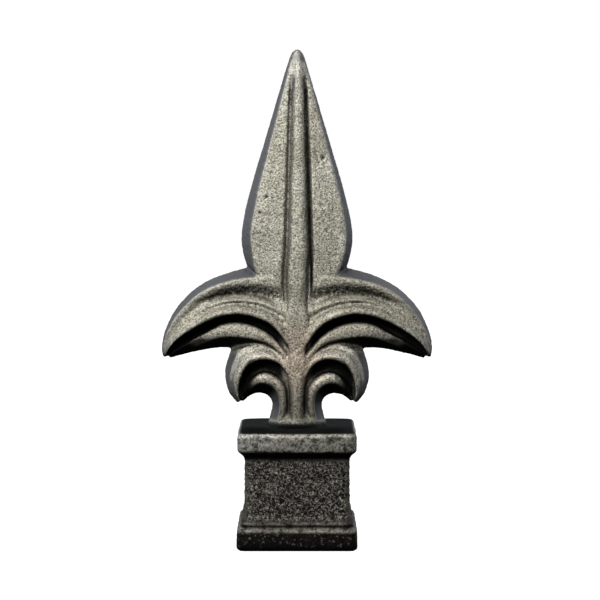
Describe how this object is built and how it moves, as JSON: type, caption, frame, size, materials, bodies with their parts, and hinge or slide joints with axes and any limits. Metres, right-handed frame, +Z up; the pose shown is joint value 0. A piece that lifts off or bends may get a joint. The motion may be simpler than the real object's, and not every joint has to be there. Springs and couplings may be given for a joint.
{
  "type": "fleur-de-lis finial",
  "caption": "Cast-iron fleur-de-lis finial: a ribbed spear blade over drooping leaves and small curls, on a moulded square base that is hollow below to slip over a square bar.",
  "frame": {"origin": "centre of the underside of the square base", "axes": "+Z up along the blade, X across the two leaves, the carved faces look along -Y and +Y"},
  "size_m": [0.0826, 0.0362, 0.15],
  "materials": {
    "cast_iron": "bare sand-cast iron, grey and finely speckled, darker in the hollows and rougher on the base"
  },
  "bodies": {
    "root": {"finial_casting": "cast_iron"}
  },
  "joints": []
}
